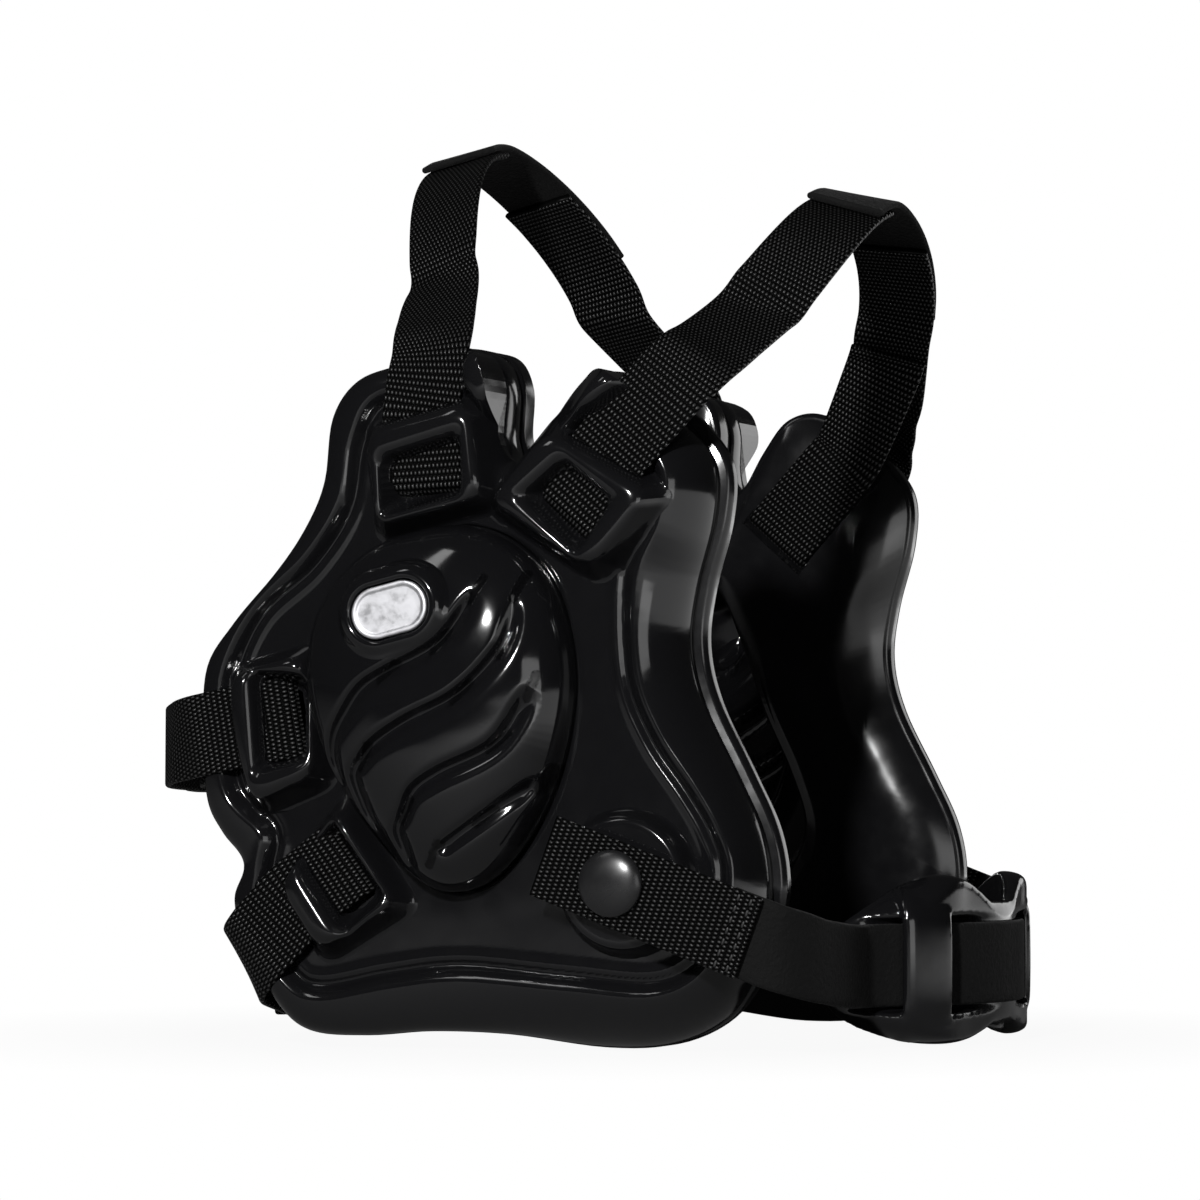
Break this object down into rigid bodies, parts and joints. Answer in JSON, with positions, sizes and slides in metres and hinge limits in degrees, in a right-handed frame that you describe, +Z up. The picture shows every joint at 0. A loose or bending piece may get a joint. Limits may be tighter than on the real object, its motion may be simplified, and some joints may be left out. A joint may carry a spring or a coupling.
{
  "type": "wrestling headgear",
  "caption": "Wrestling headgear: padded ear guards with domed vented cups, joined by crown and back straps, with a chin strap held by snaps and a moulded chin cup.",
  "frame": {"origin": "on the ground under the middle of the headgear's length and width", "axes": "+X to the wearer's left, -Y the way the wearer faces, +Z up"},
  "size_m": [0.2108, 0.1971, 0.2168],
  "materials": {
    "dipped_vinyl": "glossy black dipped vinyl over foam",
    "foam_skin": "glossy black dipped vinyl over soft foam",
    "cup_shell": "glossy black",
    "chin_mould": "semi-gloss black moulding",
    "badge_metal": "bright silver",
    "snap_metal": "nickel plated",
    "cap_enamel": "semi-gloss black enamel",
    "webbing": "woven black nylon",
    "pile": "fuzzy black pile",
    "thread": "black thread"
  },
  "bodies": {
    "harness": {"right_guard_shell": "dipped_vinyl", "left_guard_shell": "dipped_vinyl", "right_inner_pad": "foam_skin", "left_inner_pad": "foam_skin", "right_ear_cup": "cup_shell", "left_ear_cup": "cup_shell", "right_badge": "badge_metal", "left_badge": "badge_metal", "right_snap_post": "snap_metal", "left_snap_post": "snap_metal", "right_snap_stud": "snap_metal", "left_snap_stud": "snap_metal", "front_crown_pile": "pile", "front_crown_right_web": "webbing", "front_crown_left_web": "webbing", "rear_crown_pile": "pile", "rear_crown_right_web": "webbing", "rear_crown_left_web": "webbing", "upper_back_pile": "pile", "upper_back_right_web": "webbing", "upper_back_left_web": "webbing", "lower_back_pile": "pile", "lower_back_right_web": "webbing", "lower_back_left_web": "webbing"},
    "chin_strap": {"chin_pile": "pile", "chin_right_web": "webbing", "chin_left_web": "webbing", "chin_stitching": "thread", "right_snap_socket": "snap_metal", "left_snap_socket": "snap_metal", "right_snap_cap": "cap_enamel", "left_snap_cap": "cap_enamel"},
    "chin_cup": {"chin_cup": "chin_mould"}
  },
  "joints": [
    {"name": "chin_strap_swing", "type": "hinge", "parent": "harness", "child": "chin_strap", "pos_m": [0, -0.0338, 0.0379], "axis": [-1, 0, 0], "range_deg": [-20, 45]},
    {"name": "chin_cup_slide", "type": "hinge", "parent": "chin_strap", "child": "chin_cup", "pos_m": [0, -0.0404, 0.0185], "axis": [0, 0, 1], "range_deg": [-3, 3]}
  ]
}
